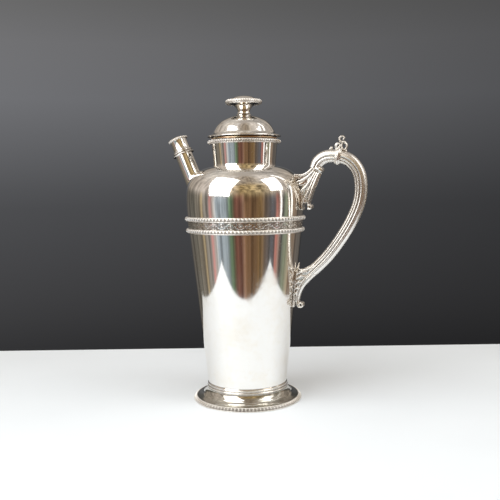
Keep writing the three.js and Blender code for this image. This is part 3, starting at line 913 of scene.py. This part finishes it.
def make_upper_leaf():
    c = Casting("acanthus_upper")
    # the core: the stem under the bar, the web to the shoulder and the sheet below it
    c.stroke([(75.5, 236.5), (72.0, 229.5), (68.6, 221.0), (65.6, 211.5), (64.2, 204.0)],
             [4.6, 5.2, 5.2, 4.2, 2.6], [4.6, 5.0, 5.0, 4.8, 4.4], power=2.6)
    c.stroke([(70.0, 230.5), (65.0, 226.0), (59.0, 223.6), (52.0, 224.2)],
             [3.2, 3.0, 2.8, 2.0], [4.6, 5.0, 5.8, 6.6], power=2.8)
    c.stroke([(66.0, 222.5), (61.0, 218.6), (57.5, 216.6)], [4.4, 4.6, 3.0], [4.6, 5.4, 6.4])
    c.stroke([(63.6, 215.0), (61.8, 206.5), (61.4, 199.0)], [4.2, 3.6, 3.0], [4.4, 4.2, 4.0],
             power=2.8)
    # ribs that fan from the bar's foot to the shoulder and down the leaf's front
    ribs = (((70.6, 232.6), (66.2, 228.2), (60.4, 225.8), (53.0, 226.2)),
            ((72.0, 230.0), (66.6, 224.8), (61.0, 221.0), (55.6, 219.4)),
            ((73.4, 228.6), (68.6, 220.6), (63.8, 214.4), (58.8, 210.6)),
            ((75.2, 228.0), (70.8, 219.4), (66.6, 210.6), (62.4, 203.0), (59.8, 196.6)),
            ((77.2, 228.0), (73.6, 220.4), (70.0, 211.6), (67.0, 203.0), (65.6, 197.2)))
    for k, rib in enumerate(ribs):
        spread = (2.3, 1.9, 1.3, 1.0, 0.6)[k]
        path = [(x, z, 4.8 + spread * (j / (len(rib) - 1))) for j, (x, z) in enumerate(rib)]
        c.both_sides(path, [0.9, 1.15, 1.15, 0.75], [0.8, 1.0, 1.1, 1.0])
    # left foot, flat on the shoulder
    c.stroke([(59.8, 209.0), (59.6, 200.5), (59.8, 193.6)], [1.5, 1.2, 1.2], [7.0, 6.6, 6.8],
             power=3.0)
    c.ball(60.0, 192.8, 1.5, wide=7.0)
    # front of the leaf that curls out into the lower scroll
    c.stroke([(70.8, 214.5), (67.8, 206.0), (65.8, 199.6), (66.2, 194.4)],
             [1.8, 1.6, 1.5, 1.3], [4.9, 5.2, 5.6, 6.0], power=2.8)
    c.stroke(spiral((66.9, 195.1), 2.4, 0.7, 230, 1.15), [1.2, 1.0, 0.8], 6.0, power=3.0)
    # the rolled cuff where the bar begins, and the volute under it
    c.stroke([(71.6, 231.6), (74.6, 231.8), (77.6, 230.6), (79.4, 229.0)],
             [1.6, 2.3, 2.2, 1.5], [5.4, 6.6, 6.8, 6.4], power=2.4)
    c.stroke(spiral((77.6, 230.2), 2.3, 0.7, 100, -1.1), [1.3, 1.1, 0.9], 6.2, power=3.0)
    return c.fuse()


def make_lower_leaf():
    c = Casting("acanthus_lower")
    # the outer sheet: the bar's back runs down into the tail scroll
    c.stroke([(71.0, 130.0), (64.6, 123.6), (59.2, 116.6), (55.9, 109.6), (54.2, 102.4),
              (54.6, 98.2)],
             [3.0, 2.6, 2.0, 1.8, 1.7, 1.4], [5.0, 5.0, 4.8, 4.6, 4.6, 4.8], power=3)
    c.stroke(spiral((57.2, 98.3), 2.9, 0.8, 180, 1.2), [1.2, 1.05, 0.8], 4.8, power=3.0)
    # plate against the body
    c.stroke([(49.6, 95.6), (50.7, 104.0), (51.6, 113.0), (52.6, 122.0), (53.6, 131.5)],
             [1.4, 1.3, 1.3, 1.5, 1.4], [4.4, 4.6, 4.8, 5.0, 4.6], power=3)
    # the web between the sheet and the plate
    c.stroke([(70.0, 133.5), (63.5, 129.0), (57.5, 122.5), (54.2, 113.0), (52.4, 103.0)],
             [5.2, 6.0, 5.2, 3.2, 1.6], [4.6, 3.6, 3.2, 3.0, 3.0], power=2.6)
    # the top edge and the thorn
    c.stroke([(72.0, 138.2), (66.4, 134.4), (61.2, 132.8), (56.4, 132.6)],
             [1.8, 1.7, 1.5, 1.2], [4.8, 4.8, 4.4, 3.8])
    c.stroke([(53.6, 127.5), (54.0, 132.0), (54.9, 136.2), (55.9, 140.0)],
             [2.0, 1.7, 1.0, 0.35], [4.6, 4.0, 2.4, 0.6])
    # veins and lobes of the leaf on both faces
    for x1, z1, x2, z2 in ((54.0, 128.6, 64.5, 131.6), (53.8, 124.2, 62.5, 126.6),
                           (53.3, 119.4, 59.6, 120.6), (52.7, 114.0, 57.0, 114.4),
                           (52.2, 108.6, 54.8, 108.6)):
        c.both_sides([(x2, z2, 3.9), ((x1 + x2) / 2, (z1 + z2) / 2 + 1.2, 4.4), (x1, z1, 4.0)],
                     [0.6, 1.15, 0.7], [0.5, 0.9, 0.7])
    c.both_sides([(53.0, 101.0, 4.0), (54.6, 112.0, 4.2), (58.8, 121.0, 4.2), (66.5, 129.0, 4.0)],
                 [0.5, 0.7, 0.8, 0.5], [0.6, 0.8, 0.9, 0.6])
    return c.fuse()


def make_collar():
    c = Casting("bar_collar")
    centre, steps = Vector((95.3, 242.8)), 28
    for offset, reach, thick in ((-1.9, 0.1, 1.0), (0.0, 0.6, 1.4), (1.9, 0.1, 1.0)):
        loop = []
        for i in range(steps + 1):
            a = 2 * math.pi * i / steps
            up, across = math.sin(a), math.cos(a)
            squash = 1 / (abs(up) ** 3 + abs(across) ** 3) ** (1 / 3)
            height = up * squash * (6.5 + reach)
            loop.append((centre.x + offset + 0.16 * height, centre.y + height,
                         across * squash * (5.9 + reach)))
        for a, b in zip(loop, loop[1:]):
            c.ball((a[0] + b[0]) / 2, (a[1] + b[1]) / 2, thick, y=(a[2] + b[2]) / 2)
            c.ball(a[0], a[1], thick, y=a[2])
    c.stroke([(94.3, 237.6), (94.0, 235.7), (93.8, 234.2)], [2.7, 2.0, 0.7], [3.8, 2.6, 0.9])
    return c.fuse(voxel=0.28)


def make_thumb_scroll():
    c = Casting("thumb_curl")
    c.stroke([(92.4, 249.4), (96.4, 249.8), (100.4, 249.2), (103.6, 247.8)],
             [1.0, 1.3, 1.2, 0.7], [3.2, 3.0, 2.8, 2.0])
    c.stroke(spiral((94.9, 253.1), 2.9, 1.1, -70, -1.5, 18), [1.05, 1.0, 0.75], [2.4, 2.6, 2.8],
             power=2.6)
    c.stroke([(98.9, 250.2), (98.2, 253.0), (99.2, 255.4), (97.0, 257.4), (96.2, 259.6),
              (97.4, 261.6), (99.7, 261.8), (100.9, 260.2), (99.6, 258.9)],
             [1.1, 0.9, 0.9, 1.1, 1.15, 1.1, 1.0, 0.9, 0.8],
             [2.2, 2.2, 2.3, 2.5, 2.6, 2.6, 2.5, 2.4, 2.4])
    c.stroke([(98.2, 257.0), (100.6, 256.8), (102.6, 254.8), (103.2, 252.4), (102.2, 250.0),
              (100.8, 248.8)], [0.8, 1.05, 1.15, 1.15, 1.1, 0.9], [2.2, 2.4, 2.5, 2.5, 2.4, 2.2])
    c.stroke([(86.6, 250.2), (88.0, 250.9)], [1.0, 1.3], [1.7, 1.8])
    c.ball(88.4, 251.2, 1.6, wide=2.0)
    return c.fuse(voxel=0.25, rounds=2)


cast(make_bar(), "handle_bar")
cast(make_collar(), "handle_collar")
cast(make_thumb_scroll(), "thumb_scroll")
cast(make_upper_leaf(), "handle_upper_leaf")
cast(make_lower_leaf(), "handle_lower_leaf")

# ---- studio --------------------------------------------------------
# Studio places are in metres from the foot of the vessel's axis: x to the camera's right,
# y away from the camera, z up.

STUDIO = Matrix.Translation((AXIS_X * MM, 0, 0)) @ Matrix.Rotation(VIEW_YAW, 4, "Z")


def make_table():
    """A pale table top: the dish of light in the lower body is its reflection."""
    half_width, front, back, thick = 0.40, -0.33, 0.22, 0.03
    bm = bmesh.new()
    corners = [(-half_width, front), (half_width, front), (half_width, back),
               (-half_width, back)]
    top = [bm.verts.new(STUDIO @ Vector((x, y, 0))) for x, y in corners]
    low = [bm.verts.new(STUDIO @ Vector((x, y, -thick))) for x, y in corners]
    bm.faces.new(top)
    bm.faces.new(low[::-1])
    for i in range(4):
        j = (i + 1) % 4
        bm.faces.new((top[i], low[i], low[j], top[j]))
    bmesh.ops.recalc_face_normals(bm, faces=bm.faces)
    mesh = bpy.data.meshes.new("table_top")
    bm.to_mesh(mesh)
    bm.free()
    table = bpy.data.objects.new("table_top", mesh)
    bpy.context.scene.collection.objects.link(table)
    mesh.materials.append(table_material("table_white"))


def area_light(name, across, upright, watts, colour):
    """A rectangular light that the camera doesn't see."""
    light = bpy.data.lights.new(name, "AREA")
    light.shape = "RECTANGLE"
    light.size, light.size_y = across, upright
    light.energy = watts
    light.color = colour
    obj = bpy.data.objects.new(name, light)
    obj.visible_camera = False
    bpy.context.scene.collection.objects.link(obj)
    return obj


def soft_panel(name, azimuths, elevations, distance, radiance, colour, target_z=0.20):
    """A soft rectangular light that fills a range of directions, seen from the vessel.

    Azimuth 0 is towards the camera and positive to its right, in degrees.
    """
    azimuth = math.radians(sum(azimuths) / 2)
    elevation = math.radians(sum(elevations) / 2)
    spread = math.radians(azimuths[1] - azimuths[0]) / 2
    rise = math.radians(elevations[1] - elevations[0]) / 2
    way = Vector((math.sin(azimuth) * math.cos(elevation),
                  -math.cos(azimuth) * math.cos(elevation), math.sin(elevation)))
    across = 2 * distance * math.tan(spread) * math.cos(elevation)
    upright = 2 * distance * math.tan(rise)
    panel = area_light(name, across, upright, radiance * across * upright * math.pi, colour)
    place = STUDIO @ (way * distance + Vector((0, 0, target_z)))
    aim = (STUDIO @ Vector((0, 0, target_z))) - place
    turn = aim.to_track_quat("-Z", "Y").to_matrix().to_4x4()
    panel.matrix_world = Matrix.Translation(place) @ turn


# What stands round the room, seen from the vessel: (azimuth in degrees, colour), at eye
# level, higher up and overhead. Behind the vessel hangs a dark cloth.
ROOM_AT_EYE_LEVEL = (
    (-180, (0.13, 0.115, 0.10)), (-150, (0.11, 0.10, 0.088)),
    (-118, (0.13, 0.12, 0.10)), (-100, (0.23, 0.20, 0.16)), (-92, (0.44, 0.34, 0.20)),
    (-88, (0.30, 0.27, 0.23)), (-76, (0.22, 0.20, 0.18)), (-71, (0.48, 0.22, 0.20)),
    (-64, (0.52, 0.48, 0.44)), (-57, (0.36, 0.41, 0.45)), (-36, (0.34, 0.39, 0.42)),
    (-30, (0.17, 0.25, 0.15)), (-25, (0.09, 0.12, 0.07)), (-19, (0.16, 0.07, 0.05)),
    (-7, (0.18, 0.085, 0.06)), (-4, (0.32, 0.19, 0.13)), (1, (0.17, 0.095, 0.05)),
    (21, (0.11, 0.065, 0.035)), (31, (0.25, 0.155, 0.07)), (40, (0.14, 0.105, 0.08)),
    (55, (0.11, 0.11, 0.12)), (61, (0.14, 0.12, 0.12)), (65, (0.50, 0.20, 0.16)),
    (71, (0.26, 0.18, 0.15)), (79, (0.10, 0.10, 0.09)), (88, (0.24, 0.27, 0.19)),
    (108, (0.33, 0.24, 0.17)), (124, (0.12, 0.10, 0.085)), (140, (0.10, 0.09, 0.08)),
    (180, (0.13, 0.115, 0.10)))
ROOM_ABOVE = (
    (-180, (0.36, 0.32, 0.28)), (-140, (0.38, 0.33, 0.28)),
    (-85, (0.52, 0.46, 0.41)), (-24, (0.50, 0.40, 0.28)), (-8, (0.30, 0.21, 0.10)),
    (14, (0.42, 0.31, 0.16)), (34, (0.34, 0.26, 0.15)), (84, (0.52, 0.46, 0.41)),
    (140, (0.38, 0.33, 0.28)), (180, (0.36, 0.32, 0.28)))
OVERHEAD = (
    (-180, (0.46, 0.42, 0.38)), (-140, (0.54, 0.50, 0.45)), (-90, (0.70, 0.64, 0.57)),
    (-45, (0.60, 0.56, 0.53)), (-20, (0.40, 0.34, 0.28)), (10, (0.29, 0.23, 0.17)),
    (30, (0.42, 0.36, 0.29)), (50, (0.62, 0.56, 0.50)), (90, (0.56, 0.51, 0.46)),
    (140, (0.34, 0.31, 0.28)), (180, (0.46, 0.42, 0.38)))
ZENITH = (0.44, 0.39, 0.34)
CLOTH_BY_ELEVATION = (
    (-90, (0.02, 0.02, 0.021)), (-14, (0.019, 0.019, 0.020)), (-9, (0.038, 0.038, 0.040)),
    (-1, (0.058, 0.059, 0.063)), (7, (0.125, 0.127, 0.135)), (11, (0.13, 0.13, 0.135)),
    (17, (0.095, 0.094, 0.09)))


def make_world():
    """The room as a soft painted surround, by azimuth and elevation from the vessel."""
    world = bpy.data.worlds.new("studio_room")
    world.use_nodes = True
    g = Graph(world.node_tree)

    def colours(stops, value):
        """A colour ramp over angles, with value going from 0 at -180 to 1 at 180 degrees."""
        made = g.add("ShaderNodeValToRGB")
        elements = made.color_ramp.elements
        while len(elements) > 1:
            elements.remove(elements[-1])
        for k, (angle, colour) in enumerate(stops):
            place = angle / 360 + 0.5
            stop = elements[0] if k == 0 else elements.new(place)
            stop.position = place
            stop.color = (*colour, 1)
        g.link(value, made.inputs[0])
        return made.outputs[0]

    def clouds(across, up, detail, roughness=0.5):
        """Noise by direction: across and up are its scales in azimuth and elevation."""
        spot = g.vector(g.math("MULTIPLY", azimuth, across), g.math("MULTIPLY", elevation, up))
        made = g.add("ShaderNodeTexNoise", Scale=1.0, Detail=detail, Roughness=roughness)
        g.link(spot, made.inputs["Vector"])
        return made.outputs["Fac"]

    def within(value, start, end):
        """1 up to start, 0 from end on."""
        return g.math("SUBTRACT", 1.0, g.ramp(value, start, end))

    way = g.add("ShaderNodeTexCoord").outputs["Generated"]
    turn = g.add("ShaderNodeMapping")
    turn.inputs["Rotation"].default_value = (0, 0, -VIEW_YAW)
    g.link(way, turn.inputs["Vector"])
    split = g.add("ShaderNodeSeparateXYZ")
    g.link(turn.outputs[0], split.inputs[0])
    x, y, z = split.outputs
    azimuth = g.math("ARCTAN2", x, g.math("MULTIPLY", y, -1.0))
    round_room = g.math("ADD", g.math("DIVIDE", azimuth, 2 * math.pi), 0.5)
    to_side = g.math("ABSOLUTE", azimuth)
    elevation = g.math("MULTIPLY", g.math("ARCSINE", z), 180 / math.pi)

    # upright streaks, as of shelves, door posts and curtains out of focus
    shade = g.scaled(g.ramp(clouds(9.0, 0.022, 3.0), 0.3, 0.7), 0.9, 0.55)
    # the clutter of the room above eye level, strongest ahead of the vessel
    clutter = g.ramp(clouds(4.5, 0.12, 5.0, 0.6), 0.36, 0.66)
    patches = g.scaled(clutter, 1.5, 0.45)
    ahead = g.math("MULTIPLY", within(to_side, 0.7, 1.0), within(elevation, 36.0, 56.0))
    high = g.math("MAXIMUM", g.math("MULTIPLY", g.ramp(elevation, 22.0, 34.0), 0.4),
                  g.math("MULTIPLY", ahead, g.ramp(elevation, 6.0, 16.0)))
    shade = g.math("ADD", shade, g.math("MULTIPLY", high, g.math("SUBTRACT", patches, shade)))
    # neither shows behind the vessel
    shade = g.scaled(g.math("SUBTRACT", shade, 1.0), within(to_side, 2.62, 2.74), 1.0)

    room = g.mix(g.ramp(elevation, 2.0, 13.0), colours(ROOM_AT_EYE_LEVEL, round_room),
                 colours(ROOM_ABOVE, round_room))
    room = g.mix(g.ramp(elevation, 30.0, 52.0), room, colours(OVERHEAD, round_room))
    room = g.mix(1.0, room, g.vector(shade, shade, shade), "MULTIPLY")
    room = g.mix(g.ramp(elevation, 66.0, 86.0), room, ZENITH)

    # the dark cloth, lit from the left
    height = g.math("ADD", g.math("DIVIDE", elevation, 360.0), 0.5)
    lit = g.math("MULTIPLY_ADD", x, -0.9, 1.0)
    cloth = g.mix(1.0, colours(CLOTH_BY_ELEVATION, height), g.vector(lit, lit, lit), "MULTIPLY")
    behind = g.ramp(to_side, math.radians(152), math.radians(157))
    room = g.mix(g.math("MULTIPLY", behind, within(elevation, 23.0, 26.0)), room, cloth)

    background = g.tree.nodes["Background"]
    g.link(room, background.inputs["Color"])
    background.inputs["Strength"].default_value = 1.0
    bpy.context.scene.world = world


def make_camera():
    """A 50 mm lens on full frame, a little above the shoulder and looking slightly down."""
    distance, height, pitch, roll = 0.7065, 0.2144, math.radians(5.1), math.radians(-0.8)
    sideways = 0.0043
    camera = bpy.data.cameras.new("camera")
    camera.lens = 50.4
    camera.sensor_width = 36.0
    camera.clip_start = 0.01
    obj = bpy.data.objects.new("camera", camera)
    turn = Euler((math.pi / 2 - pitch, 0, 0)).to_matrix().to_4x4() @ Matrix.Rotation(roll, 4, "Z")
    obj.matrix_world = STUDIO @ Matrix.Translation((sideways, -distance, height)) @ turn
    bpy.context.scene.collection.objects.link(obj)
    bpy.context.scene.camera = obj


def floor_fill(watts):
    """An overhead light for the table only: the silver doesn't mirror it."""
    fill = area_light("table_light", 1.4, 0.8, watts, (0.86, 0.95, 1.0))
    fill.matrix_world = STUDIO @ Matrix.Translation((-0.15, -0.45, 1.2))
    fill.visible_glossy = False


WHITE = (0.985, 0.995, 1.0)
make_table()
make_world()
make_camera()
floor_fill(8.0)
soft_panel("softbox_left", (-76, -23), (6, 60), 0.95, 2.6, WHITE)
soft_panel("softbox_right", (47, 80), (13, 54), 0.95, 2.6, WHITE)
soft_panel("strip_right", (98, 103), (-14, 60), 1.2, 1.3, WHITE)
soft_panel("strip_right_near", (70, 74), (-14, 12), 1.2, 1.1, WHITE)

bpy.context.scene.view_settings.view_transform = "Standard"
